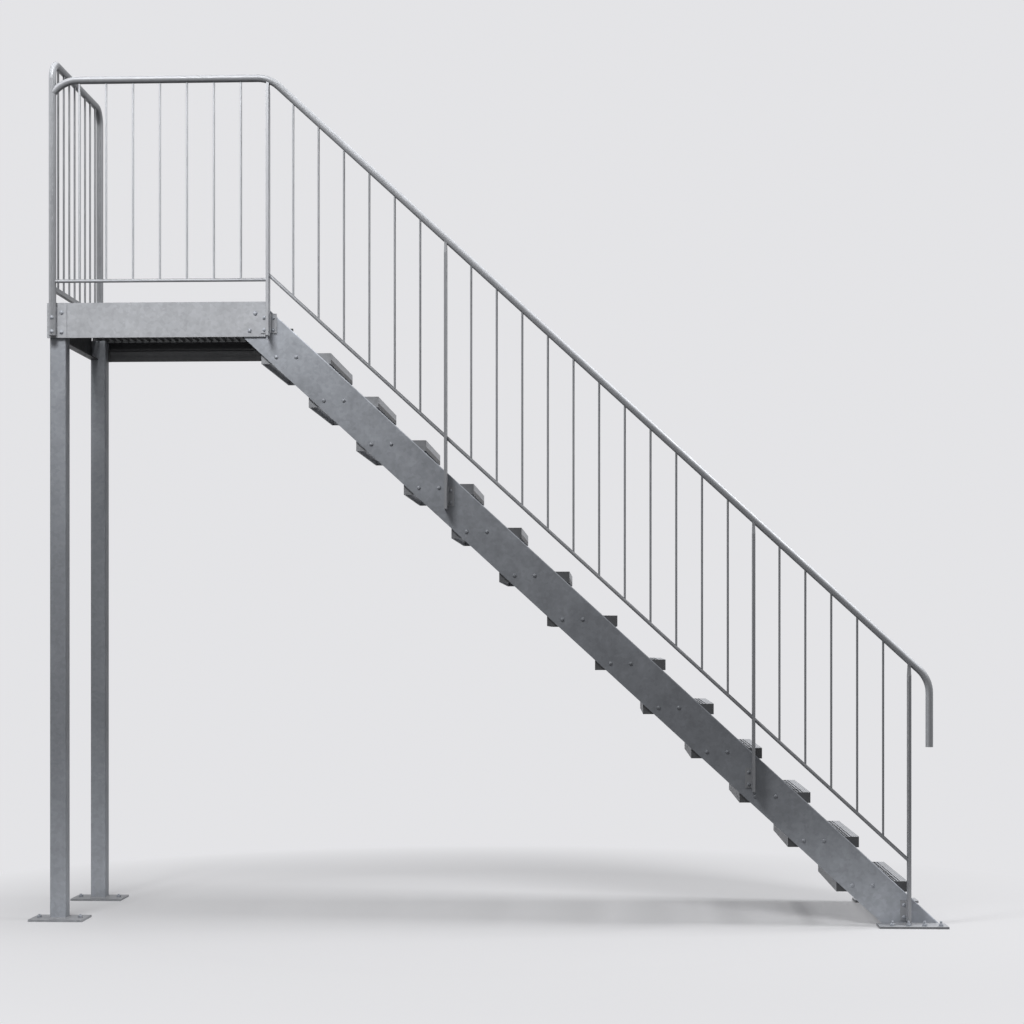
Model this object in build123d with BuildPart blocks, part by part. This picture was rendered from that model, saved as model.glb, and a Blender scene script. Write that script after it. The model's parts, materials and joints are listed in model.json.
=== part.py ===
"""Galvanised steel fire escape stair: a landing on two legs and one straight flight.

Millimetres. +X runs down the flight, +Y runs from the guarded side to the open side,
+Z is up. The origin is on the ground, under the middle of the near leg.
"""

from build123d import *

import os
from math import atan2, cos, sin

os.makedirs("parts", exist_ok=True)

# Flight
riser = 200
riser_count = 14
going = 218
stair_width = 850
landing_length = 1008
first_going = 298

# Landing legs and their base plates
leg_size = 75
leg_wall = 5
leg_corner = 8
leg_inset = 9
leg_plate_length = 250
leg_plate_width = 180
leg_anchor_spacing = 190
anchor_hole_r = 7
plate_thickness = 10

# Landing beams
beam_depth = 160
beam_thickness = 8
deck_drop = 35
corner_plate_length = 91
corner_plate_thickness = 5
end_beam_flange = 38
end_beam_wall = 6
channel_inner_r = 4
ledger_size = 40
ledger_thickness = 5
trimmer_depth = 100
trimmer_flange = 45
trimmer_setback = 5

# Stringers and their foot plates
stringer_depth = 174
stringer_thickness = 10
stringer_drop = 60
stringer_lap = 100
foot_plate_length = 308
foot_plate_width = 125
foot_plate_toe = 27
foot_plate_inside = 18
foot_anchor_count = 4
foot_anchor_pitch = 72
foot_anchor_edge = 33
foot_anchor_side = 27

# Open bar grating of the treads and the deck
tread_depth = 320
tread_height = 48
tread_plate = 5
nosing_width = 30
bar_depth = 30
bar_thickness = 3
bar_pitch = 34.5
deck_band = 5
rod_size = 6
tread_rods = 3
deck_rods = 4
deck_clearance = 3

# Guard: tubes, flat posts on edge, round lower rails and balusters
tube_r = 16.85
tube_wall = 2.6
tube_bend_r = 140
handrail_rise = 997
landing_handrail_rise = 1049
handrail_overrun = 90
handrail_end_z = 808
handrail_end_run = 58
post_width = 12
post_depth = 60
post_tip = 24
post_taper = 45
post_foot = 172
lower_rail_r = 8
lower_rail_rise = 97
landing_rail_rise = 131
baluster_r = 5
baluster_pitch = 116
landing_balusters = 7
flight_bays = (7, 12, 6)
first_post_gap = 15
cleat_leg = 30
cleat_thickness = 4
cleat_length = 90
cleat_rise = 15

# End guard across the landing
end_guard_inset = 30
end_guard_top = 1155
end_guard_bend_r = 80
end_guard_foot = 7
end_guard_rail = 20
end_guard_rail_rise = 99
end_guard_balusters = 8
weld_depth = 1.5

# Levels and the pitch line through the tread noses
deck_z = riser * riser_count
beam_top_z = deck_z + deck_drop
beam_bottom_z = beam_top_z - beam_depth
deck_bottom_z = deck_z - bar_depth
slope = riser / going
pitch_angle = atan2(riser, going)
tread_count = riser_count - 1

# Faces across the stair
near_face = -(leg_size / 2 + beam_thickness)
far_face = near_face + stair_width
middle_y = (near_face + far_face) / 2
sides = (("near", near_face, 1), ("far", far_face, -1))
string_gap = stair_width - 2 * (beam_thickness + stringer_thickness)

# Places along the stair
beam_start_x = -(leg_size / 2 + leg_inset)
beam_end_x = beam_start_x + landing_length
first_nose_x = beam_end_x + first_going
lap_x = beam_end_x - stringer_lap


def pitch_z(x):
    """Height of the pitch line, which touches every nose."""
    return deck_z - riser + (first_nose_x - x) * slope


def pitch_x(z):
    """Place where the pitch line reaches a height."""
    return first_nose_x + (deck_z - riser - z) / slope


def stringer_top_z(x):
    return pitch_z(x) - stringer_drop


deck_edge_x = pitch_x(deck_z + stringer_drop)
toe_x = pitch_x(plate_thickness + stringer_drop)
string_height = stringer_depth / cos(pitch_angle)
heel_x = pitch_x(plate_thickness + stringer_drop + string_height)

# Guard line, in the plane of the handrail
rail_y = near_face - corner_plate_thickness - tube_r
end_guard_x = beam_start_x + end_guard_inset
handrail_z = deck_z + landing_handrail_rise
handrail_bend_x = pitch_x(handrail_z - handrail_rise)
first_post_x = beam_end_x + first_post_gap
post_xs = [first_post_x]
for bay in flight_bays:
    post_xs.append(post_xs[-1] + bay * baluster_pitch)
handrail_end_x = post_xs[-1] + handrail_overrun


def handrail_axis_z(x):
    """Height of the handrail's axis, before its bends are rounded."""
    return min(handrail_z, pitch_z(x) + handrail_rise)


def facing(y):
    """Upright plane along the stair, at a distance across it."""
    return Plane.XZ.offset(-y)


def save(piece, name):
    piece.part.label = name
    export_step(piece.part, f"parts/{name}.step")


# Legs: square hollow sections with a closed top, under the deck
leg_ys = {"near": 0, "far": far_face - beam_thickness - leg_size / 2}
for side, leg_y in leg_ys.items():
    with BuildPart() as leg:
        with BuildSketch(Plane((0, leg_y, plate_thickness))):
            RectangleRounded(leg_size, leg_size, leg_corner)
        extrude(amount=deck_bottom_z - plate_thickness)
        with BuildSketch(Plane((0, leg_y, plate_thickness))):
            bore = leg_size - 2 * leg_wall
            RectangleRounded(bore, bore, leg_corner - leg_wall)
        extrude(amount=deck_bottom_z - plate_thickness - leg_wall, mode=Mode.SUBTRACT)
    save(leg, f"{side}_leg")

    with BuildPart() as leg_plate:
        with BuildSketch(Plane((0, leg_y, 0))):
            Rectangle(leg_plate_length, leg_plate_width)
            with GridLocations(leg_anchor_spacing, 0, 2, 1):
                Circle(anchor_hole_r, mode=Mode.SUBTRACT)
        extrude(amount=plate_thickness)
    save(leg_plate, f"{side}_leg_plate")

# Landing beams: flat plates on edge, with a plate over each outer corner
for side, face, inward in sides:
    with BuildPart() as beam:
        with BuildSketch(facing(face)):
            with Locations((beam_start_x, beam_bottom_z)):
                Rectangle(landing_length, beam_depth, align=(Align.MIN, Align.MIN))
        extrude(amount=-inward * beam_thickness)
    save(beam, f"{side}_beam")

    with BuildPart() as corner_plate:
        with BuildSketch(facing(face)):
            with Locations((beam_start_x, beam_bottom_z)):
                Rectangle(corner_plate_length, beam_depth, align=(Align.MIN, Align.MIN))
        extrude(amount=inward * corner_plate_thickness)
    save(corner_plate, f"{side}_corner_plate")

    with BuildPart() as ledger:
        ledger_face = face + inward * beam_thickness
        with BuildSketch(Plane.YZ.offset(leg_size / 2)):
            with BuildLine():
                Polyline(
                    (ledger_face, deck_bottom_z),
                    (ledger_face + inward * ledger_size, deck_bottom_z),
                    (ledger_face + inward * ledger_size, deck_bottom_z - ledger_thickness),
                    (ledger_face + inward * ledger_thickness, deck_bottom_z - ledger_thickness),
                    (ledger_face + inward * ledger_thickness, deck_bottom_z - ledger_size),
                    (ledger_face, deck_bottom_z - ledger_size),
                    close=True,
                )
            make_face()
        extrude(amount=lap_x - leg_size / 2)
    save(ledger, f"{side}_ledger")

# End beam: a channel between the legs, its flanges towards the flight
end_beam_x = -leg_size / 2
end_beam_span = leg_ys["far"] - leg_ys["near"] - leg_size
with BuildPart() as end_beam:
    with BuildSketch(facing(leg_size / 2)):
        with Locations((end_beam_x, beam_bottom_z)):
            Rectangle(end_beam_flange, beam_depth, align=(Align.MIN, Align.MIN))
        with Locations((end_beam_x + end_beam_wall, beam_bottom_z + end_beam_wall)):
            Rectangle(
                end_beam_flange,
                beam_depth - 2 * end_beam_wall,
                align=(Align.MIN, Align.MIN),
                mode=Mode.SUBTRACT,
            )
    extrude(amount=-end_beam_span)
    fillet(end_beam.edges().filter_by(Axis.Y).group_by(Axis.X)[1], channel_inner_r)
save(end_beam, "end_beam")

# Trimmer: a channel between the stringers, under the edge of the deck
trimmer_x = deck_edge_x - trimmer_setback
with BuildPart() as trimmer:
    with BuildSketch(facing(near_face + beam_thickness + stringer_thickness)):
        with Locations((trimmer_x, deck_bottom_z)):
            Rectangle(trimmer_flange, trimmer_depth, align=(Align.MAX, Align.MAX))
        with Locations((trimmer_x - end_beam_wall, deck_bottom_z - end_beam_wall)):
            Rectangle(
                trimmer_flange,
                trimmer_depth - 2 * end_beam_wall,
                align=(Align.MAX, Align.MAX),
                mode=Mode.SUBTRACT,
            )
    extrude(amount=-string_gap)
    fillet(trimmer.edges().filter_by(Axis.Y).group_by(Axis.X)[1], channel_inner_r)
save(trimmer, "landing_trimmer")

# Deck: one grating panel between the beams, its bars across the stair
deck_start_x = end_beam_x + end_beam_flange + deck_clearance
deck_length = deck_edge_x - deck_start_x
deck_width = string_gap - 2 * deck_clearance
deck_bays = round((deck_length - deck_band) / bar_pitch)
with BuildPart() as deck:
    with BuildSketch(Plane(((deck_start_x + deck_edge_x) / 2, middle_y, deck_bottom_z))):
        Rectangle(deck_length, deck_width)
        Rectangle(
            deck_length - 2 * deck_band,
            deck_width - 2 * deck_band,
            mode=Mode.SUBTRACT,
        )
        with GridLocations((deck_length - deck_band) / deck_bays, 0, deck_bays - 1, 1):
            Rectangle(bar_thickness, deck_width)
    extrude(amount=bar_depth)
    with BuildSketch(Plane(((deck_start_x + deck_edge_x) / 2, middle_y, deck_z - rod_size))):
        with GridLocations(0, deck_width / (deck_rods + 1), 1, deck_rods):
            Rectangle(deck_length, rod_size)
    extrude(amount=rod_size)
save(deck, "deck_grating")

# Stringers: flat plates on edge, lapped behind the beams and cut level at the foot
for side, face, inward in sides:
    with BuildPart() as stringer:
        with BuildSketch(facing(face + inward * beam_thickness)):
            with BuildLine():
                Polyline(
                    (lap_x, deck_z),
                    (deck_edge_x, deck_z),
                    (toe_x, plate_thickness),
                    (heel_x, plate_thickness),
                    (lap_x, stringer_top_z(lap_x) - string_height),
                    close=True,
                )
            make_face()
        extrude(amount=-inward * stringer_thickness)
    save(stringer, f"{side}_stringer")

    # Foot plates reach out beyond the stringers, with a row of anchor holes
    with BuildPart() as foot_plate:
        inner_y = face + inward * (beam_thickness + foot_plate_inside)
        outer_y = inner_y - inward * foot_plate_width
        plate_end_x = toe_x + foot_plate_toe
        with BuildSketch(Plane((plate_end_x - foot_plate_length / 2, (inner_y + outer_y) / 2, 0))):
            Rectangle(foot_plate_length, foot_plate_width)
        extrude(amount=plate_thickness)
        last_anchor_x = plate_end_x - foot_anchor_edge
        row_middle_x = last_anchor_x - foot_anchor_pitch * (foot_anchor_count - 1) / 2
        with BuildSketch(Plane((row_middle_x, outer_y + inward * foot_anchor_side, 0))):
            with GridLocations(foot_anchor_pitch, 0, foot_anchor_count, 1):
                Circle(anchor_hole_r)
        extrude(amount=plate_thickness, mode=Mode.SUBTRACT)
    save(foot_plate, f"{side}_foot_plate")

# Treads: a plate frame with a folded nosing, bearing bars across and cross rods
inner_depth = tread_depth - 2 * tread_plate
inner_length = string_gap - 2 * tread_plate
tread_bays = round(inner_depth / bar_pitch)
for step in range(tread_count):
    nose_x = first_nose_x + step * going
    top_z = deck_z - (step + 1) * riser
    centre_x = nose_x - tread_depth / 2
    with BuildPart() as tread:
        with BuildSketch(Plane((centre_x, middle_y, top_z - tread_height))):
            Rectangle(tread_depth, string_gap)
            Rectangle(inner_depth, inner_length, mode=Mode.SUBTRACT)
        extrude(amount=tread_height)
        with BuildSketch(Plane((centre_x, middle_y, top_z - bar_depth))):
            with GridLocations(inner_depth / tread_bays, 0, tread_bays - 1, 1):
                Rectangle(bar_thickness, inner_length)
        extrude(amount=bar_depth)
        with BuildSketch(Plane((centre_x, middle_y, top_z - rod_size))):
            with GridLocations(0, inner_length / (tread_rods + 1), 1, tread_rods):
                Rectangle(inner_depth, rod_size)
        extrude(amount=rod_size)
        with BuildSketch(Plane((nose_x - nosing_width / 2, middle_y, top_z - tread_plate))):
            Rectangle(nosing_width, string_gap)
        extrude(amount=tread_plate)
    save(tread, f"tread_{step + 1:02d}")

# The end guard's near leg without its bore, to cope what is welded against it
far_rail_y = far_face + corner_plate_thickness + tube_r
hoop_foot_z = beam_bottom_z + end_guard_foot
hoop_top_z = deck_z + end_guard_top - tube_r
hoop_bend_z = hoop_top_z - end_guard_bend_r
with BuildPart() as guard_leg_core:
    with BuildSketch(Plane((end_guard_x, rail_y, hoop_foot_z))):
        Circle(tube_r)
    extrude(amount=hoop_bend_z - hoop_foot_z)

# Handrail: one bent tube, from the end guard to an open end past the last post
handrail_points = [
    (end_guard_x, handrail_z - handrail_end_run),
    (end_guard_x + handrail_end_run, handrail_z),
    (handrail_bend_x, handrail_z),
    (handrail_end_x, handrail_axis_z(handrail_end_x)),
    (handrail_end_x, handrail_end_z),
]
with BuildPart() as handrail:
    with BuildLine(facing(rail_y)) as handrail_path:
        FilletPolyline(*handrail_points, radius=tube_bend_r)
    with BuildSketch(Plane(handrail_path.line @ 0, z_dir=handrail_path.line % 0)):
        Circle(tube_r)
        Circle(tube_r - tube_wall, mode=Mode.SUBTRACT)
    sweep()
    add(guard_leg_core.part, mode=Mode.SUBTRACT)
save(handrail, "handrail")

# The same tube without its bore cuts the saddles in what meets it from below
with BuildPart() as handrail_core:
    with BuildLine(facing(rail_y)) as core_path:
        FilletPolyline(*handrail_points, radius=tube_bend_r)
    with BuildSketch(Plane(core_path.line @ 0, z_dir=core_path.line % 0)):
        Circle(tube_r)
    sweep()

# Posts: flat bars on edge against the stringer, tapered to a tip under the handrail
stringer_face = near_face + beam_thickness
post_bottoms = [beam_bottom_z]
post_bottoms += [stringer_top_z(x) - post_foot for x in post_xs[1:-1]]
post_bottoms += [plate_thickness]
for number, (post_x, bottom_z) in enumerate(zip(post_xs, post_bottoms), start=1):
    top_z = handrail_axis_z(post_x) - tube_r / 2
    shoulder_z = handrail_axis_z(post_x) - tube_r / cos(pitch_angle)
    with BuildPart() as post:
        with BuildSketch(Plane.YZ.offset(post_x)):
            with BuildLine():
                Polyline(
                    (stringer_face, bottom_z),
                    (stringer_face, shoulder_z - post_taper),
                    (rail_y + post_tip / 2, shoulder_z),
                    (rail_y + post_tip / 2, top_z),
                    (rail_y - post_tip / 2, top_z),
                    (rail_y - post_tip / 2, shoulder_z),
                    (stringer_face - post_depth, shoulder_z - post_taper),
                    (stringer_face - post_depth, bottom_z),
                    close=True,
                )
            make_face()
        extrude(amount=post_width / 2, both=True)
        add(handrail_core.part, mode=Mode.SUBTRACT)
    save(post, f"rail_post_{number}")

# Cleats: short angles that bolt the posts to the stringer, and the first one to the beam too
cleat_seats = (
    (0, 1, stringer_face),
    (0, -1, near_face),
    (1, 1, stringer_face),
    (2, -1, stringer_face),
    (3, -1, stringer_face),
)
with BuildPart() as cleats:
    for post, way, seat_y in cleat_seats:
        seat_x = post_xs[post] + way * post_width / 2
        with BuildSketch(Plane.XY.offset(post_bottoms[post] + cleat_rise)):
            with BuildLine():
                Polyline(
                    (seat_x, seat_y),
                    (seat_x + way * cleat_leg, seat_y),
                    (seat_x + way * cleat_leg, seat_y - cleat_thickness),
                    (seat_x + way * cleat_thickness, seat_y - cleat_thickness),
                    (seat_x + way * cleat_thickness, seat_y - cleat_leg),
                    (seat_x, seat_y - cleat_leg),
                    close=True,
                )
            make_face()
        extrude(amount=cleat_length)
save(cleats, "post_cleats")

# Landing panel: a level lower rail with balusters up to the handrail
landing_rail_z = deck_z + landing_rail_rise
landing_pitch = (first_post_x - end_guard_x) / (landing_balusters + 1)
with BuildPart() as landing_panel:
    with BuildSketch(Plane.YZ.offset(end_guard_x)):
        with Locations((rail_y, landing_rail_z)):
            Circle(lower_rail_r)
    extrude(amount=first_post_x - post_width / 2 - end_guard_x)
    add(guard_leg_core.part, mode=Mode.SUBTRACT)
    for count in range(1, landing_balusters + 1):
        bar_x = end_guard_x + count * landing_pitch
        with Locations((bar_x, rail_y, landing_rail_z)):
            Cylinder(
                baluster_r,
                handrail_axis_z(bar_x) - landing_rail_z,
                align=(Align.CENTER, Align.CENTER, Align.MIN),
            )
    add(handrail_core.part, mode=Mode.SUBTRACT)
save(landing_panel, "landing_panel")

# Flight panels: a lower rail at the pitch of the flight, in the bays between posts
down_the_flight = (cos(pitch_angle), 0, -sin(pitch_angle))
for name, bay, start_x, end_x in zip(("upper", "middle", "lower"), flight_bays, post_xs, post_xs[1:]):
    with BuildPart() as panel:
        middle_x = (start_x + end_x) / 2
        rail_middle = (middle_x, rail_y, pitch_z(middle_x) + lower_rail_rise)
        with BuildSketch(Plane(rail_middle, z_dir=down_the_flight)):
            Circle(lower_rail_r)
        extrude(amount=(end_x - start_x) / 2 / cos(pitch_angle) + lower_rail_r, both=True)
        split(bisect_by=Plane.YZ.offset(start_x + post_width / 2), keep=Keep.TOP)
        split(bisect_by=Plane.YZ.offset(end_x - post_width / 2), keep=Keep.BOTTOM)
        for count in range(1, bay):
            bar_x = start_x + count * baluster_pitch
            foot_z = pitch_z(bar_x) + lower_rail_rise
            with Locations((bar_x, rail_y, foot_z)):
                Cylinder(
                    baluster_r,
                    handrail_axis_z(bar_x) - foot_z,
                    align=(Align.CENTER, Align.CENTER, Align.MIN),
                )
        add(handrail_core.part, mode=Mode.SUBTRACT)
    save(panel, f"flight_panel_{name}")

# End guard: a hoop of tube across the landing, with a lower rail and balusters welded in
end_rail_z = deck_z + end_guard_rail_rise
end_pitch = (far_rail_y - rail_y) / (end_guard_balusters + 1)
with BuildPart() as end_guard:
    for leg_y, way in ((rail_y, 1), (far_rail_y, -1)):
        with BuildSketch(Plane((end_guard_x, leg_y, hoop_foot_z))):
            Circle(tube_r)
            Circle(tube_r - tube_wall, mode=Mode.SUBTRACT)
        extrude(amount=hoop_bend_z - hoop_foot_z)
        with BuildSketch(Plane((end_guard_x, leg_y, hoop_bend_z))):
            Circle(tube_r)
            Circle(tube_r - tube_wall, mode=Mode.SUBTRACT)
        bend_centre = (end_guard_x, leg_y + way * end_guard_bend_r, hoop_bend_z)
        revolve(axis=Axis(bend_centre, (-way, 0, 0)), revolution_arc=90)
    with BuildSketch(facing(rail_y + end_guard_bend_r)):
        with Locations((end_guard_x, hoop_top_z)):
            Circle(tube_r)
            Circle(tube_r - tube_wall, mode=Mode.SUBTRACT)
    extrude(amount=-(far_rail_y - rail_y - 2 * end_guard_bend_r))
    with BuildSketch(facing(rail_y + tube_r - weld_depth)):
        with Locations((end_guard_x, end_rail_z)):
            Rectangle(end_guard_rail, end_guard_rail)
    extrude(amount=-(far_rail_y - rail_y - 2 * (tube_r - weld_depth)))
    for count in range(1, end_guard_balusters + 1):
        with Locations((end_guard_x, rail_y + count * end_pitch, end_rail_z)):
            Cylinder(
                baluster_r,
                hoop_top_z - tube_r + weld_depth - end_rail_z,
                align=(Align.CENTER, Align.CENTER, Align.MIN),
            )
save(end_guard, "end_guard")
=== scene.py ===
"""Galvanised fire escape stair in a studio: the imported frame, its fixings and its finish.

Metres, in the part's frame: +X runs down the flight, +Y away from the guarded side, +Z up.
"""

import json
import math

import bpy
from mathutils import Matrix, Vector


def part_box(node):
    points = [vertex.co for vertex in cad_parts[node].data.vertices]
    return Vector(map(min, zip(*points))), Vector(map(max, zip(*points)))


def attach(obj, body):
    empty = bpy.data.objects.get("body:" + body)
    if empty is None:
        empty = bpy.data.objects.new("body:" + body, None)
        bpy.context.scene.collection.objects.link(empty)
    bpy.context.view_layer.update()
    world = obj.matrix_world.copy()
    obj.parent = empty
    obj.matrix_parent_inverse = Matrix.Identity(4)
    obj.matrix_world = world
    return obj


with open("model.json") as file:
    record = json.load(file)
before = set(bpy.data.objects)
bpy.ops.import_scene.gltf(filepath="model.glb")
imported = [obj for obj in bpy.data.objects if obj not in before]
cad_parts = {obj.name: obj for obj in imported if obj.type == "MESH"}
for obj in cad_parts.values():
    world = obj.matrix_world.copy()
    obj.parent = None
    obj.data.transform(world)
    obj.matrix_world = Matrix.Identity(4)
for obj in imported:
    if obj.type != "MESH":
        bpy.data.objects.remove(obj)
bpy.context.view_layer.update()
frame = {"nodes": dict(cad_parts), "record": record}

record = frame["record"]
nodes = frame["nodes"]
slot_of_node = {part["node"]: part["material_slot"] for part in record["subparts"]}

LEFT, RIGHT = Vector((-1, 0, 0)), Vector((1, 0, 0))
FRONT, BACK = Vector((0, -1, 0)), Vector((0, 1, 0))
UP = Vector((0, 0, 1))


def box(node):
    """Lowest and highest corner of a node, as vectors."""
    low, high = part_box(node)
    return Vector(low), Vector(high)


# Fixings
dome_r = 0.0085
dome_height = 0.005
small_dome_r = 0.0075
small_dome_height = 0.0045
dome_washer_share = 1.2
round_sides = 20
dome_steps = 5
dome_sweep = 88
nut_flat = 0.019
nut_height = 0.009
nut_chamfer_share = 0.06
washer_r = 0.011
washer_thickness = 0.002
stud_r = 0.006
stud_proud = 0.005
stud_sides = 12
thread_pitch = 0.00175
thread_root_share = 0.88
stud_tip_share = 0.8
leg_anchor = dict(proud=0.004, height=0.008)
foot_anchor = dict(proud=0.012, height=0.009)

# Places of the fixings on what they hold, measured from its edges
tread_bolt_backs = (0.250, 0.158)
tread_bolt_drop = 0.018
tread_end_plate = 0.005
lap_bolts = ((0.047, 0.054), (0.073, 0.133))
corner_bolt_x = 0.067
corner_bolt_drops = (0.044, 0.135)
guard_bolt_drops = (0.071, 0.135)
cleat_bolt_inset = 0.014
cleat_bolt_rises = (0.030, 0.085)
cleat_thickness = 0.004

# Flight and grating
riser = 0.200
going = 0.218
first_nose = box("tread_01")[1].x
nosing_face = 0.029
nosing_depth = 0.030
groove_pitch = 0.010
groove_width = 0.0035
back_plate = 0.0095
rod_size = 0.006
rod_twist = 0.050
tread_rod_bays = 20
tread_solid_rods = 4
deck_rod_bays = 20
deck_solid_rods = 5

# Welds
weld_step = 0.0035
weld_size = 0.004
leg_weld_size = 0.005
weld_heel = 0.06


# Mesh tools


class Steel:
    """Collects the shapes that make one joined piece."""

    def __init__(self):
        self.points = []
        self.faces = []

    def add(self, points, faces):
        first = len(self.points)
        self.points.extend(points)
        self.faces.extend(tuple(first + corner for corner in face) for face in faces)

    def rings(self, rings):
        """Closed skin over rings of equal point counts, capped at both ends."""
        sides = len(rings[0])
        points = [point for ring in rings for point in ring]
        faces = [tuple(reversed(range(sides)))]
        for row in range(len(rings) - 1):
            for side in range(sides):
                after = (side + 1) % sides
                low, high = row * sides, (row + 1) * sides
                faces.append((low + side, low + after, high + after, high + side))
        last = (len(rings) - 1) * sides
        faces.append(tuple(last + side for side in range(sides)))
        self.add(points, faces)

    def lathe(self, place, profile, sides, turn=0.0):
        """Turned shape about the place's Z axis, from (radius, height) pairs."""
        rings = []
        for radius, height in profile:
            ring = []
            for side in range(sides):
                angle = turn + math.tau * side / sides
                local = Vector((radius * math.cos(angle), radius * math.sin(angle), height))
                ring.append(place @ local)
            rings.append(ring)
        self.rings(rings)

    def piece(self, name, slot):
        """The joined mesh as a piece of the stair."""
        mesh = bpy.data.meshes.new(name)
        mesh.from_pydata(self.points, [], self.faces)
        mesh.validate()
        mesh.update()
        mesh.shade_smooth()
        mesh.set_sharp_from_angle(angle=math.radians(32))
        made = bpy.data.objects.new(name, mesh)
        bpy.context.scene.collection.objects.link(made)
        made.data.materials.append(materials[slot])
        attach(made, "root")


def aim(position, direction):
    """Stands a local Z axis along a direction."""
    turn = direction.to_track_quat("Z", "Y").to_matrix().to_4x4()
    return Matrix.Translation(position) @ turn


def dome(steel, position, direction, radius=dome_r, height=dome_height):
    """Round bolt head on a thin washer."""
    place = aim(position, direction)
    seat = washer_thickness / 2
    washer = radius * dome_washer_share
    steel.lathe(place, [(washer, 0), (washer, seat)], round_sides)
    profile = []
    for step in range(dome_steps + 1):
        angle = math.radians(dome_sweep) * step / dome_steps
        profile.append((radius * math.cos(angle), seat + height * math.sin(angle)))
    steel.lathe(place, profile, round_sides)


def nut(steel, position, direction, turn=0.0, proud=stud_proud, height=nut_height):
    """Hex nut on a washer, with the threaded end of its stud."""
    place = aim(position, direction)
    corner = nut_flat / math.sqrt(3)
    edge = nut_flat * nut_chamfer_share
    seat = washer_thickness
    steel.lathe(place, [(washer_r, 0), (washer_r, seat)], round_sides)
    profile = [
        (corner - edge, seat),
        (corner, seat + edge),
        (corner, seat + height - edge),
        (corner - edge, seat + height),
    ]
    steel.lathe(place, profile, 6, turn)
    thread = []
    level = seat + height
    top = level + proud
    while level < top:
        thread.append((stud_r, level))
        thread.append((stud_r * thread_root_share, level + thread_pitch / 2))
        level += thread_pitch
    thread.append((stud_r * stud_tip_share, top))
    steel.lathe(place, thread, stud_sides)


def weld(steel, start, end, side_a, side_b, size=weld_size):
    """Fillet weld with soft ripples along the corner between two faces."""
    run = end - start
    count = max(4, int(run.length / weld_step))
    rings = []
    for step in range(count + 1):
        swell = size * (1 + 0.10 * math.sin(step * 2.1) + 0.06 * math.sin(step * 0.77))
        taper = 0.55 if step in (0, count) else 1.0
        reach = swell * taper
        middle = start + run * (step / count)
        root = middle - (side_a + side_b) * 0.0006
        rings.append([
            root,
            middle + side_a * reach,
            middle + (side_a * 0.78 + side_b * 0.30) * reach,
            middle + (side_a * 0.30 + side_b * 0.78) * reach,
            middle + side_b * reach,
        ])
    if run.dot(side_a.cross(side_b)) < 0:
        rings.reverse()
    steel.rings(rings)


def weld_loop(steel, corners, up, size):
    """Weld round a closed upright outline that stands on a plate."""
    middle = sum(corners, Vector()) / len(corners)
    for start, end in zip(corners, corners[1:] + corners[:1]):
        out = (end - start).cross(up).normalized()
        if out.dot(start - middle) < 0:
            out = -out
        weld(steel, start, end, out, up, size)


def twisted_rod(steel, start, end):
    """Square rod with a steady twist, as pressed into open bar grating."""
    run = end - start
    count = max(2, round(run.length / (rod_twist / 8)))
    place = aim(start, run.normalized())
    corner = rod_size / math.sqrt(2)
    rings = []
    for step in range(count + 1):
        along = run.length * step / count
        turn = math.tau * along / rod_twist
        ring = []
        for side in range(4):
            angle = turn + math.tau * side / 4
            ring.append(place @ Vector((corner * math.cos(angle), corner * math.sin(angle), along)))
        rings.append(ring)
    steel.rings(rings)


def cross_rods(steel, node, bays, solid_rods, side=0.0, back=0.0, front=0.0):
    """Twisted rods across a grating, between the solid ones, kept back from its edges."""
    low, high = box(node)
    inner = high.y - low.y - 2 * side
    z = high.z - rod_size / 2
    for count in range(1, bays):
        if count % (bays // solid_rods) == 0:
            continue
        y = low.y + side + inner * count / bays
        twisted_rod(steel, Vector((low.x + back, y, z)), Vector((high.x - front, y, z)))


# Materials


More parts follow.
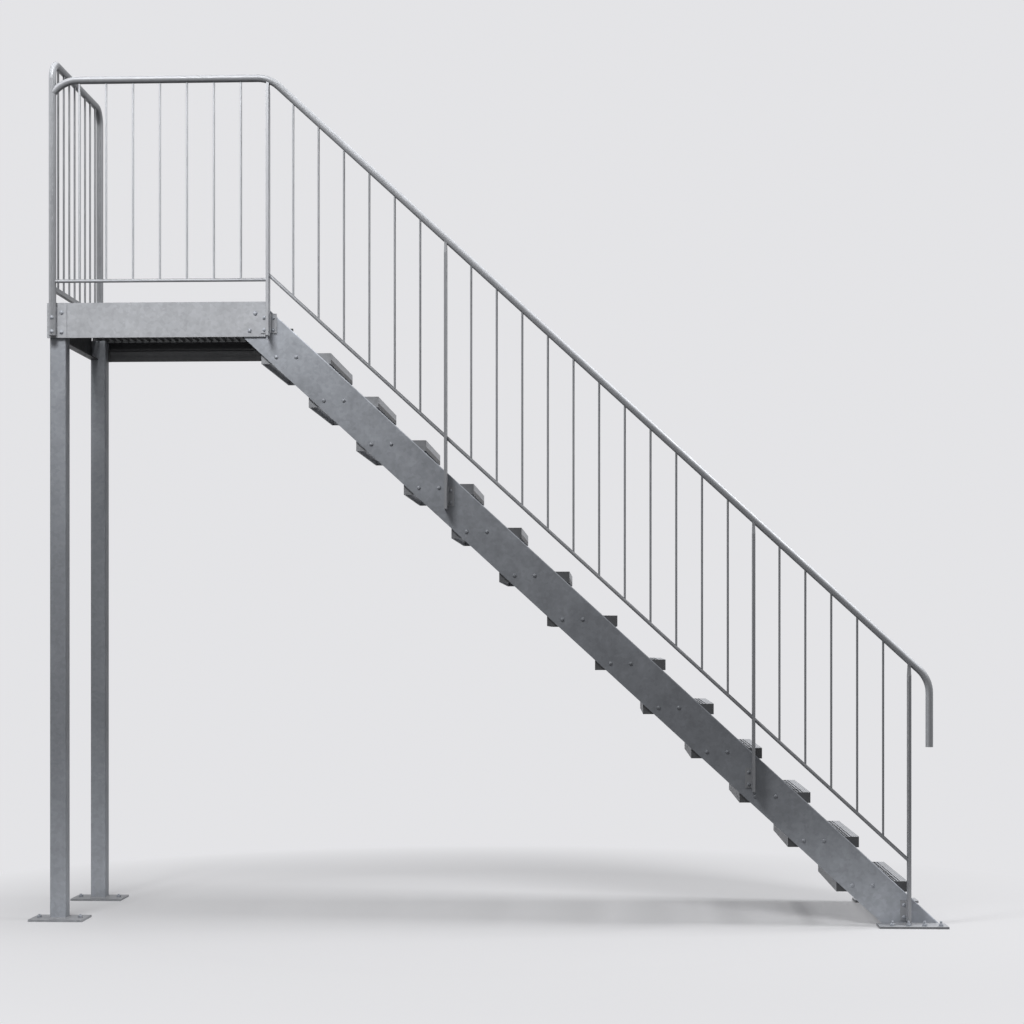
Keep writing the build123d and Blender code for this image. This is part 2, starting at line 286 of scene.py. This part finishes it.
class Tree:
    """Adds and links shader nodes in one material or world."""

    def __init__(self, owner):
        owner.use_nodes = True
        self.nodes = owner.node_tree.nodes
        self.links = owner.node_tree.links

    def add(self, kind, **settings):
        node = self.nodes.new(kind)
        for key, value in settings.items():
            setattr(node, key, value)
        return node

    def feed(self, socket, value):
        """Sets a socket to a number, or links it to another node."""
        if isinstance(value, (int, float)):
            socket.default_value = value
        else:
            self.links.new(value, socket)

    def math(self, operation, *values, clamp=False):
        node = self.add("ShaderNodeMath", operation=operation, use_clamp=clamp)
        for socket, value in zip(node.inputs, values):
            self.feed(socket, value)
        return node.outputs[0]

    def product(self, first, *others):
        for other in others:
            first = self.math("MULTIPLY", first, other)
        return first

    def outside(self, mask):
        """The other side of a mask of 0 and 1."""
        return self.math("SUBTRACT", 1.0, mask)

    def where(self, mask, level):
        """A level inside a mask of 0 and 1, and 1 outside it."""
        return self.math("MULTIPLY_ADD", mask, level - 1, 1.0)

    def distance(self, value, middle):
        return self.math("ABSOLUTE", self.math("SUBTRACT", value, middle))

    def ramp(self, value, stops):
        """Grey level between stops of (position, level)."""
        node = self.add("ShaderNodeValToRGB")
        elements = node.color_ramp.elements
        elements[0].position, elements[0].color = stops[0][0], (*[stops[0][1]] * 3, 1)
        elements[1].position, elements[1].color = stops[-1][0], (*[stops[-1][1]] * 3, 1)
        for position, level in stops[1:-1]:
            elements.new(position).color = (level, level, level, 1)
        self.links.new(value, node.inputs[0])
        return node.outputs[0]

    def axes(self, vector):
        """The three parts of a vector, by the names X, Y and Z."""
        parts = self.add("ShaderNodeSeparateXYZ")
        self.links.new(vector, parts.inputs[0])
        return parts.outputs

    def noise(self, place, scale, detail, roughness=0.5):
        node = self.add("ShaderNodeTexNoise")
        node.inputs["Scale"].default_value = scale
        node.inputs["Detail"].default_value = detail
        node.inputs["Roughness"].default_value = roughness
        self.links.new(place, node.inputs["Vector"])
        return node.outputs

    def mix(self, share, first, second):
        """Two shaders mixed, with the second one's share."""
        node = self.add("ShaderNodeMixShader")
        self.feed(node.inputs[0], share)
        self.links.new(first, node.inputs[1])
        self.links.new(second, node.inputs[2])
        return node.outputs[0]


pale_zinc = (0.965, 0.990, 1.045)
blue_zinc = (0.940, 0.990, 1.080)
cloud = 0.24
streak = 0.16
flake_bend = (0.010, 0.010, 0.010)
flakes_per_metre = 70
run_stretch = (26, 26, 1.6)


def galvanised(
    name, level, relief, painted_light_and_tone,
    metallic=0.15, roughness=0.55, spangle=0.16, mottle=0.25, tint=pale_zinc,
):
    """Zinc coat: a soft spangle, cloudy patches, run marks and a faint grain."""
    material = bpy.data.materials.new(name)
    tree = Tree(material)
    shader = tree.nodes["Principled BSDF"]
    shader.inputs["Metallic"].default_value = metallic
    shader.inputs["Specular IOR Level"].default_value = 0.3
    coordinates = tree.add("ShaderNodeTexCoord").outputs
    place = coordinates["Object"]

    bent = tree.add("ShaderNodeVectorMath", operation="MULTIPLY_ADD")
    tree.links.new(tree.noise(place, 60, 2)["Color"], bent.inputs[0])
    bent.inputs[1].default_value = flake_bend
    tree.links.new(place, bent.inputs[2])
    cells = tree.add("ShaderNodeTexVoronoi", feature="F1")
    cells.inputs["Scale"].default_value = flakes_per_metre
    tree.links.new(bent.outputs[0], cells.inputs["Vector"])
    split = tree.add("ShaderNodeSeparateColor")
    tree.links.new(cells.outputs["Color"], split.inputs[0])
    flake = split.outputs[0]

    upright = tree.add("ShaderNodeVectorMath", operation="MULTIPLY")
    upright.inputs[1].default_value = run_stretch
    tree.links.new(place, upright.inputs[0])
    runs = tree.noise(upright.outputs[0], 1, 4)[0]
    patches = tree.noise(place, 2.3, 6, 0.62)[0]
    blots = tree.noise(place, 13, 3)[0]

    shade = tree.math("MULTIPLY_ADD", flake, spangle, 1 - spangle / 2)
    for pattern, depth in ((patches, cloud), (runs, streak), (blots, mottle)):
        shade = tree.product(shade, tree.math("MULTIPLY_ADD", pattern, depth, 1 - depth / 2))
    # Painted light and shade, and some tone, from the slot's own function
    shade = tree.product(shade, painted_light_and_tone(tree, tree.axes(place), tree.axes(coordinates["Normal"])))
    coat = tree.add("ShaderNodeMix", data_type="RGBA", blend_type="MULTIPLY")
    coat.inputs["Factor"].default_value = 1
    coat.inputs[6].default_value = (*(level * part for part in tint), 1)
    tree.links.new(shade, coat.inputs[7])
    tree.links.new(coat.outputs[2], shader.inputs["Base Color"])

    flake_rough = tree.math("MULTIPLY_ADD", flake, 0.16, roughness - 0.08)
    patch_rough = tree.math("MULTIPLY_ADD", patches, 0.22, -0.11)
    tree.links.new(tree.math("ADD", flake_rough, patch_rough), shader.inputs["Roughness"])

    grain = tree.noise(place, 420, 3)[0]
    bump = tree.add("ShaderNodeBump")
    bump.inputs["Strength"].default_value = relief
    bump.inputs["Distance"].default_value = 0.0005
    tree.links.new(tree.math("MULTIPLY_ADD", runs, 0.8, grain), bump.inputs["Height"])
    tree.links.new(bump.outputs[0], shader.inputs["Normal"])
    return material


# Painted light and shade, plus some differences of tone: how much of its colour a coat keeps, from where a
# point is and the way it faces

deck_underside = box("deck_grating")[0].z
near_face = box("near_beam")[0].y
far_face = box("far_beam")[1].y
# Width of the painted highlight along the stringer's upper arris
arris_highlight_width = 0.005
arris_line = max(point.co.z + point.co.x * riser / going for point in nodes["near_stringer"].data.vertices)


def grating_tone_and_painted_light(tree, place, facing):
    """End plates darker down the flight; painted light on the bar tops and on bar sides that face up the
    stair; painted shade on the deck sides, the lower lips, the faces toward the foot and in the grooves of
    the noses.
    """
    on_deck = tree.math("GREATER_THAN", place["Z"], deck_underside - 0.001)
    on_tread = tree.outside(on_deck)
    from_riser = tree.math("SUBTRACT", place["X"], first_nose - going / 2)
    past_riser = tree.math("FLOORED_MODULO", from_riser, going)
    off_nose = tree.distance(past_riser, going / 2)
    faces_up = tree.math("GREATER_THAN", facing["Z"], 0.9)
    faces_foot = tree.math("GREATER_THAN", facing["X"], 0.8)
    faces_head = tree.math("LESS_THAN", facing["X"], -0.8)
    faces_side = tree.math("GREATER_THAN", tree.math("ABSOLUTE", facing["Y"]), 0.8)

    # Painted shade on the lower lip of each front plate, under the nosing
    under_nosing = tree.math("LESS_THAN", tree.math("MODULO", place["Z"], riser), riser - nosing_face)
    lip = tree.product(faces_foot, under_nosing, tree.math("LESS_THAN", off_nose, 0.002))
    # Painted shade on the sides of the deck bars
    deck_side = tree.product(tree.math("LESS_THAN", facing["Z"], 0.7), on_deck)
    off_back = tree.distance(past_riser, back_plate)
    # Painted light on the bar sides that face up the stair
    bar_side = tree.product(faces_head, tree.math("GREATER_THAN", off_back, 0.003))
    nose_top = tree.product(tree.math("LESS_THAN", off_nose, nosing_depth), faces_up)
    # Painted shade in the grooves of the nose tops
    groove = tree.math("LESS_THAN", tree.math("MODULO", off_nose, groove_pitch), groove_width)
    # Painted light on the bar tops
    bar_top = tree.product(faces_up, tree.outside(nose_top), on_tread)

    # End plates darker down the flight
    down_the_stair = tree.math("MULTIPLY_ADD", place["X"], 1 / 3, -0.3)
    end_level = tree.ramp(down_the_stair, [(0.0, 0.80), (0.20, 0.62), (0.42, 0.22)])
    return tree.product(
        tree.math("MULTIPLY_ADD", faces_side, end_level, tree.outside(faces_side)),
        tree.where(tree.math("MAXIMUM", deck_side, lip), 0.15),
        tree.where(bar_side, 2.3),
        # Painted shade on faces toward the foot
        tree.where(faces_foot, 0.68),
        tree.where(tree.product(nose_top, groove, on_tread), 0.55),
        tree.where(bar_top, 1.35),
    )


def frame_painted_shade(tree, place, facing):
    """Painted shade on everything that lies between the outer faces of the landing beams, under the deck."""
    off_middle = tree.distance(place["Y"], (near_face + far_face) / 2)
    inner = tree.math("LESS_THAN", off_middle, (far_face - near_face) / 2 - 0.001)
    # Painted shade inside the landing frame
    return tree.where(inner, 0.10)


def stringer_painted_light(tree, place, facing):
    """Painted light: brighter at the ends of the flight than in its middle, with a painted highlight along
    the upper arris.
    """
    stops = [(0.02, 1.0), (0.125, 0.66), (0.20, 0.46), (0.30, 0.40), (0.53, 0.46), (0.80, 0.62), (0.89, 0.80)]
    # Painted light by height
    level = tree.ramp(tree.math("MULTIPLY", place["Z"], 1 / 3), stops)
    above_pitch = tree.math("MULTIPLY_ADD", place["X"], riser / going, place["Z"])
    # Painted highlight along the upper arris
    arris = tree.math("LESS_THAN", tree.distance(above_pitch, arris_line), arris_highlight_width)
    return tree.product(level, tree.where(arris, 1.8))


def painted_light_by_facing(tree, facing):
    """Painted light on upper faces, and painted shade below and on the side down the stair."""
    upper = tree.math("MULTIPLY_ADD", facing["Z"], 0.6, 0.5)
    side = tree.math("SUBTRACT", upper, tree.math("MULTIPLY", facing["X"], 0.3))
    return tree.ramp(side, [(0.20, 0.52), (0.50, 0.54), (0.60, 0.75), (0.70, 1.0)])


def tube_tone_and_painted_light(tree, place, facing):
    """Duller along the landing than on the end guard and down the flight, with painted light and shade by
    facing.
    """
    stops = [(0.0005, 0.58), (0.004, 0.52), (0.25, 0.52), (0.31, 0.74)]
    along = tree.ramp(tree.math("MULTIPLY", place["X"], 1 / 4), stops)
    return tree.product(along, painted_light_by_facing(tree, facing))


def bar_tone_and_painted_light(tree, place, facing):
    """Paler along the landing than down the flight; painted light near the ground, and painted shade on top
    faces and by facing.
    """
    along = tree.ramp(tree.math("MULTIPLY", place["X"], 1 / 4), [(0.235, 0.80), (0.31, 0.50), (1.0, 0.42)])
    # Painted light near the ground
    low = tree.ramp(tree.math("MULTIPLY", place["Z"], 1 / 3), [(0.03, 0.68), (0.20, 0.38)])
    lit = tree.math("MINIMUM", painted_light_by_facing(tree, facing), 0.60)
    # Painted shade on faces that look up
    upper = tree.ramp(facing["Z"], [(0.15, 1.0), (0.55, 0.50)])
    return tree.product(tree.math("MAXIMUM", along, low), lit, upper)


def leg_painted_light(tree, place, facing):
    """Painted light: palest near the ground and under the landing, with painted shade on the side down the
    stair.
    """
    stops = [(0.03, 1.0), (0.17, 0.76), (0.30, 0.57), (0.53, 0.55), (0.87, 0.74)]
    height = tree.ramp(tree.math("MULTIPLY", place["Z"], 1 / 3), stops)
    return tree.product(height, tree.where(tree.math("GREATER_THAN", facing["X"], 0.8), 0.75))


def plate_painted_shade(tree, place, facing):
    """Painted shade: darker edges on the plates, most of all under the flight, and duller tops under the
    legs.
    """
    edge = tree.math("LESS_THAN", facing["Z"], 0.6)
    under_flight = tree.math("GREATER_THAN", place["X"], 1.0)
    under_leg = tree.outside(under_flight)
    # Painted shade on the edges and on the tops under the legs
    return tree.product(
        tree.where(tree.product(edge, under_flight), 0.45),
        tree.where(tree.product(edge, under_leg), 0.75),
        tree.where(tree.product(tree.outside(edge), under_leg), 0.70),
    )


looks = {
    "leg_steel": dict(level=0.42, relief=0.12, tint=blue_zinc, painted_light_and_tone=leg_painted_light),
    "plate_steel": dict(level=0.40, relief=0.12, painted_light_and_tone=plate_painted_shade),
    "frame_steel": dict(level=0.40, relief=0.10, painted_light_and_tone=frame_painted_shade),
    "stringer_steel": dict(level=0.46, relief=0.12, mottle=0.55, tint=blue_zinc, painted_light_and_tone=stringer_painted_light),
    "grating_steel": dict(level=0.38, metallic=0.10, relief=0.05, painted_light_and_tone=grating_tone_and_painted_light),
    "tube_steel": dict(
        level=0.70, roughness=0.48, relief=0.0, spangle=0.08, mottle=0.15, painted_light_and_tone=tube_tone_and_painted_light,
    ),
    "bar_steel": dict(
        level=0.95, roughness=0.50, relief=0.0, spangle=0.03, mottle=0.10, painted_light_and_tone=bar_tone_and_painted_light,
    ),
}
materials = {slot: galvanised(slot, **look) for slot, look in looks.items()}
for node, thing in nodes.items():
    for holder in thing.material_slots:
        holder.material = materials[slot_of_node[node]]

# Treads and landing: twisted rods between the solid ones
treads = sorted(node for node in nodes if node.startswith("tread_"))
tread_rods = Steel()
for node in treads:
    cross_rods(
        tread_rods, node, tread_rod_bays, tread_solid_rods,
        side=tread_end_plate, back=tread_end_plate, front=nosing_depth,
    )
tread_rods.piece("tread_rods", "grating_steel")
deck_rods = Steel()
cross_rods(deck_rods, "deck_grating", deck_rod_bays, deck_solid_rods)
deck_rods.piece("deck_rods", "grating_steel")

# Treads: bolts through the stringers, with their nuts inside the end plates
near_string_face = box("near_stringer")[0].y
far_string_face = box("far_stringer")[1].y
tread_bolts = Steel()
tread_nuts = Steel()
for number, node in enumerate(treads):
    low, high = box(node)
    for count, back in enumerate(tread_bolt_backs):
        x = high.x - back
        z = high.z - tread_bolt_drop
        turn = number * 0.7 + count * 0.4
        dome(tread_bolts, Vector((x, near_string_face, z)), FRONT)
        dome(tread_bolts, Vector((x, far_string_face, z)), BACK)
        nut(tread_nuts, Vector((x, low.y + tread_end_plate, z)), BACK, turn)
        nut(tread_nuts, Vector((x, high.y - tread_end_plate, z)), FRONT, turn)
tread_bolts.piece("tread_bolts", "stringer_steel")
tread_nuts.piece("tread_nuts", "bar_steel")

# Landing frame: lap bolts, corner bolts and the bolts of the end guard
frame_bolts = Steel()
guard_low, guard_high = box("end_guard")
guard_x = (guard_low.x + guard_high.x) / 2
sides = (
    ("near", FRONT, near_face, box("near_corner_plate")[0].y, guard_low.y),
    ("far", BACK, far_face, box("far_corner_plate")[1].y, guard_high.y),
)
for side, out, face, corner_face, tube_face in sides:
    low, high = box(f"{side}_beam")
    for back, drop in lap_bolts:
        dome(frame_bolts, Vector((high.x - back, face, high.z - drop)), out)
    for drop in corner_bolt_drops:
        dome(frame_bolts, Vector((low.x + corner_bolt_x, corner_face, high.z - drop)), out)
    for drop in guard_bolt_drops:
        place = Vector((guard_x, tube_face, high.z - drop))
        dome(frame_bolts, place, out, small_dome_r, small_dome_height)
frame_bolts.piece("frame_bolts", "stringer_steel")

# Anchors in the leg plates and the foot plates
anchors = Steel()
plate_top = box("near_leg_plate")[1].z
for mount in record["mounts"]:
    middle = Vector(mount["pos_m"])
    half = mount["dims"]["spacing_x_mm"] / 2000
    form = leg_anchor if "leg" in mount["name"] else foot_anchor
    for count, way in enumerate((-1, 1)):
        place = Vector((middle.x + way * half, middle.y, plate_top))
        turn = count * 0.9 + middle.y + half * 7
        nut(anchors, place, UP, turn, **form)
anchors.piece("anchors", "leg_steel")

# Posts: two bolts through each cleat, on the side of the post where the cleat stands
cleat_seats = (
    (1, RIGHT, near_string_face),
    (1, LEFT, near_face),
    (2, RIGHT, near_string_face),
    (3, LEFT, near_string_face),
    (4, LEFT, near_string_face),
)
cleat_bolts = Steel()
for number, way, face in cleat_seats:
    low, high = box(f"rail_post_{number}")
    x = high.x + cleat_bolt_inset if way == RIGHT else low.x - cleat_bolt_inset
    for rise in cleat_bolt_rises:
        place = Vector((x, face - cleat_thickness, low.z + rise))
        dome(cleat_bolts, place, FRONT, small_dome_r, small_dome_height)
cleat_bolts.piece("cleat_bolts", "stringer_steel")

# Welds at the feet of the legs, the stringers and the last post
welds = Steel()
for side in ("near", "far"):
    low, high = box(f"{side}_leg")
    corners = [
        Vector((low.x, low.y, low.z)),
        Vector((high.x, low.y, low.z)),
        Vector((high.x, high.y, low.z)),
        Vector((low.x, high.y, low.z)),
    ]
    weld_loop(welds, corners, UP, leg_weld_size)
    string_low, string_high = box(f"{side}_stringer")
    plate_low, plate_high = box(f"{side}_foot_plate")
    heel = plate_low.x + weld_heel
    toe = string_high.x - 0.002
    for y, out in ((string_low.y, FRONT), (string_high.y, BACK)):
        weld(welds, Vector((heel, y, plate_high.z)), Vector((toe, y, plate_high.z)), out, UP)
post_low, post_high = box("rail_post_4")
for x, way in ((post_low.x, LEFT), (post_high.x, RIGHT)):
    weld(welds, Vector((x, post_low.y, post_low.z)), Vector((x, post_high.y, post_low.z)), way, UP)
welds.piece("welds", "plate_steel")

# Floor: it is paper near the stair and turns into the plain backdrop away from it
backdrop = (0.775, 0.775, 0.795)
paper_colour = (0.610, 0.610, 0.625)
floor_half = 60
floor_middle = (2.0, 0.3, 0.0)
flight_foot = (3.7, 0.4, 0.0)
leg_foot = (0.0, 0.4, 0.0)
floor_mesh = bpy.data.meshes.new("studio_floor")
floor_mesh.from_pydata(
    [(-floor_half, -floor_half, 0), (floor_half, -floor_half, 0),
     (floor_half, floor_half, 0), (-floor_half, floor_half, 0)],
    [],
    [(0, 1, 2, 3)],
)
floor = bpy.data.objects.new("studio_floor", floor_mesh)
bpy.context.scene.collection.objects.link(floor)


def sees_backdrop(tree):
    """1 for the rays that show the pale backdrop: camera, glossy and transmission."""
    rays = tree.add("ShaderNodeLightPath").outputs
    both = tree.math("MAXIMUM", rays["Is Camera Ray"], rays["Is Glossy Ray"])
    return tree.math("MAXIMUM", both, rays["Is Transmission Ray"])


def floor_material():
    """Lit paper near the stair and plain backdrop further out; to diffuse light, dark but at the feet."""
    material = bpy.data.materials.new("studio_floor")
    tree = Tree(material)
    tree.nodes.clear()
    place = tree.add("ShaderNodeTexCoord").outputs["Object"]

    def away_from(point):
        offset = tree.add("ShaderNodeVectorMath", operation="DISTANCE")
        offset.inputs[1].default_value = point
        tree.links.new(place, offset.inputs[0])
        return offset.outputs["Value"]

    paper = tree.add("ShaderNodeBsdfDiffuse")
    paper.inputs["Color"].default_value = (*paper_colour, 1)
    plain = tree.add("ShaderNodeEmission")
    plain.inputs["Color"].default_value = (*backdrop, 1)
    near = tree.mix(0.14, paper.outputs[0], plain.outputs[0])
    fade = tree.math("MULTIPLY_ADD", away_from(floor_middle), 0.7, -1.25, clamp=True)
    seen = tree.mix(fade, near, plain.outputs[0])

    nearest = tree.math("MINIMUM", away_from(flight_foot), away_from(leg_foot))
    dark = tree.add("ShaderNodeBsdfDiffuse")
    tree.links.new(tree.ramp(nearest, [(0.5, 0.80), (1.0, 0.10)]), dark.inputs["Color"])
    output = tree.add("ShaderNodeOutputMaterial")
    tree.links.new(tree.mix(sees_backdrop(tree), dark.outputs[0], seen), output.inputs[0])
    return material


floor.data.materials.append(floor_material())


def studio_world():
    """The plain backdrop to the camera, and soft light from above to everything else."""
    world = bpy.data.worlds.new("studio")
    tree = Tree(world)
    tree.nodes.clear()
    upward = tree.axes(tree.add("ShaderNodeTexCoord").outputs["Generated"])["Z"]
    height = tree.math("MULTIPLY_ADD", upward, 0.5, 0.5)
    soft = tree.add("ShaderNodeBackground")
    glow = tree.ramp(height, [(0.0, 0.02), (0.48, 0.06), (0.56, 0.18), (0.75, 0.34), (1.0, 0.50)])
    tree.links.new(glow, soft.inputs["Color"])
    plain = tree.add("ShaderNodeBackground")
    plain.inputs["Color"].default_value = (*backdrop, 1)
    output = tree.add("ShaderNodeOutputWorld")
    tree.links.new(tree.mix(sees_backdrop(tree), soft.outputs[0], plain.outputs[0]), output.inputs[0])
    return world


bpy.context.scene.world = studio_world()


def area_light(name, position, target, size, power):
    """Soft box that faces a point."""
    data = bpy.data.lights.new(name, "AREA")
    data.shape = "RECTANGLE"
    data.size, data.size_y = size
    data.energy = power
    made = bpy.data.objects.new(name, data)
    made.matrix_world = aim(Vector(position), Vector(position) - Vector(target))
    bpy.context.scene.collection.objects.link(made)


area_light("key", position=(0.0, -3.0, 6.0), target=(0.8, 0.0, 2.4), size=(1.6, 1.2), power=235)
area_light("top", position=(7.0, 0.1, 6.2), target=(2.6, 0.3, 0.6), size=(2.2, 2.2), power=350)

# Camera, from the vanishing lines of the photograph
image_side = 1024
focal_pixels = 2085.7
horizon_row = 636.3
camera_place = (2.5180, -9.5133, 1.3055)
camera_heading = 0.0453
camera_data = bpy.data.cameras.new("camera")
camera_data.sensor_width = 36
camera_data.lens = focal_pixels * camera_data.sensor_width / image_side
camera_data.shift_y = (horizon_row - image_side / 2) / image_side
camera_data.clip_end = 200
camera = bpy.data.objects.new("camera", camera_data)
camera.location = camera_place
camera.rotation_euler = (math.pi / 2, 0, camera_heading)
bpy.context.scene.collection.objects.link(camera)
bpy.context.scene.camera = camera
bpy.context.scene.view_settings.view_transform = "Standard"
